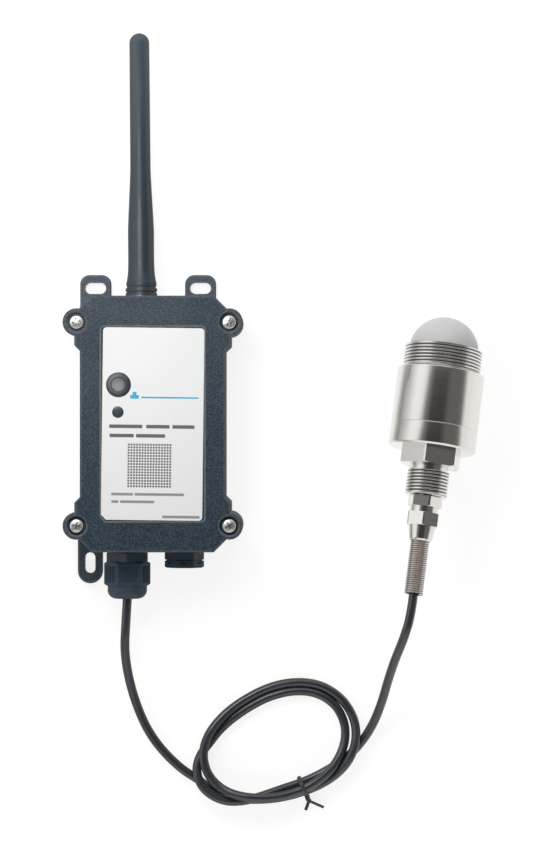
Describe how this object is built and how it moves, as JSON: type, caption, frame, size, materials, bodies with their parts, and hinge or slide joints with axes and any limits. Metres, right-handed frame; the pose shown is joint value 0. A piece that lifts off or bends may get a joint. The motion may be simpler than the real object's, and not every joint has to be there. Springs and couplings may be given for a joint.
{
  "type": "radar distance sensor",
  "caption": "Sealed wireless sensor case with mounting ears, push button and whip aerial, wired by a coiled cable to a threaded steel radar probe with a white dome lens.",
  "frame": {"origin": "middle of the case's back face, on the surface that it lies on or is screwed to", "axes": "+Z out of the front lid, +Y along the aerial, +X to the right seen from the front, towards the probe"},
  "size_m": [0.1924, 0.3599, 0.0447],
  "materials": {
    "case_plastic": "fine spark texture, dark blue-grey",
    "label_film": "smooth satin white film",
    "dark_window": "smooth smoked plastic",
    "button_plastic": "fine matte, black",
    "black_nylon": "smooth moulded, black",
    "aerial_jacket": "smooth satin, black",
    "black_rubber": "smooth",
    "cable_jacket": "matte, black",
    "tie_plastic": "soft satin, dark grey",
    "stainless_steel": "turned, fine circular marks",
    "spring_steel": "drawn wire, close wound",
    "nickel_screw": "bright nickel plate",
    "brass_plain": "machined",
    "copper_washer": "stamped copper",
    "gold_plate": "plated",
    "lens_plastic": "smooth turned white fluoroplastic",
    "circuit_board": "solder-mask coat",
    "chip_plastic": "moulded",
    "shield_tin": "tinned sheet",
    "terminal_plastic": "moulded, green",
    "natural_nylon": "moulded, natural",
    "cell_sleeve": "shrink sleeve",
    "capacitor_sleeve": "shrink sleeve",
    "led_resin": "clear resin",
    "membrane": "breathable film",
    "horn_metal": "turned"
  },
  "bodies": {
    "sensor_unit": {"rear_case": "case_plastic", "front_lid": "case_plastic", "lid_gasket": "black_rubber", "lid_screws": "nickel_screw", "boss_inserts": "brass_plain", "front_label": "label_film", "led_window": "dark_window", "button_collar": "button_plastic", "main_board": "circuit_board", "board_screws": "nickel_screw", "tact_switch": "chip_plastic", "status_led": "led_resin", "radio_module": "shield_tin", "controller_chip": "chip_plastic", "terminal_block": "terminal_plastic", "battery_plug": "natural_nylon", "battery_cell": "cell_sleeve", "buffer_capacitor": "capacitor_sleeve", "battery_cradle": "case_plastic", "antenna_jack": "gold_plate", "antenna_washer": "copper_washer", "antenna_jack_nut": "gold_plate", "antenna_pigtail": "cable_jacket", "antenna_coupling": "aerial_jacket", "antenna_whip": "aerial_jacket", "gland_gasket": "black_rubber", "gland_body": "black_nylon", "gland_seal": "black_rubber", "gland_cap_nut": "black_nylon", "gland_lock_nut": "black_nylon", "vent_gasket": "black_rubber", "vent_body": "black_nylon", "vent_membrane": "membrane", "vent_cap": "black_nylon", "vent_lock_nut": "black_nylon", "radar_lens": "lens_plastic", "lens_o_ring": "black_rubber", "head_shell": "stainless_steel", "radar_board": "circuit_board", "radar_chip": "chip_plastic", "radar_horn": "horn_metal", "board_spacer": "natural_nylon", "rear_cap": "stainless_steel", "shell_o_ring": "black_rubber", "probe_gland_body": "stainless_steel", "probe_gland_seal": "black_rubber", "probe_gland_nut": "stainless_steel", "strain_spring": "spring_steel", "probe_tail": "cable_jacket", "cable_tail": "cable_jacket", "cable_lead_in": "cable_jacket", "cable_lead_out": "cable_jacket", "cable_coil": "cable_jacket", "cable_tie": "tie_plastic"},
    "button": {"push_button": "button_plastic"}
  },
  "joints": [
    {"name": "button_press", "type": "slide", "parent": "sensor_unit", "child": "button", "axis": [0, 0, -1], "range_m": [0, 0.0009], "stiffness_N_per_m": 1500}
  ]
}
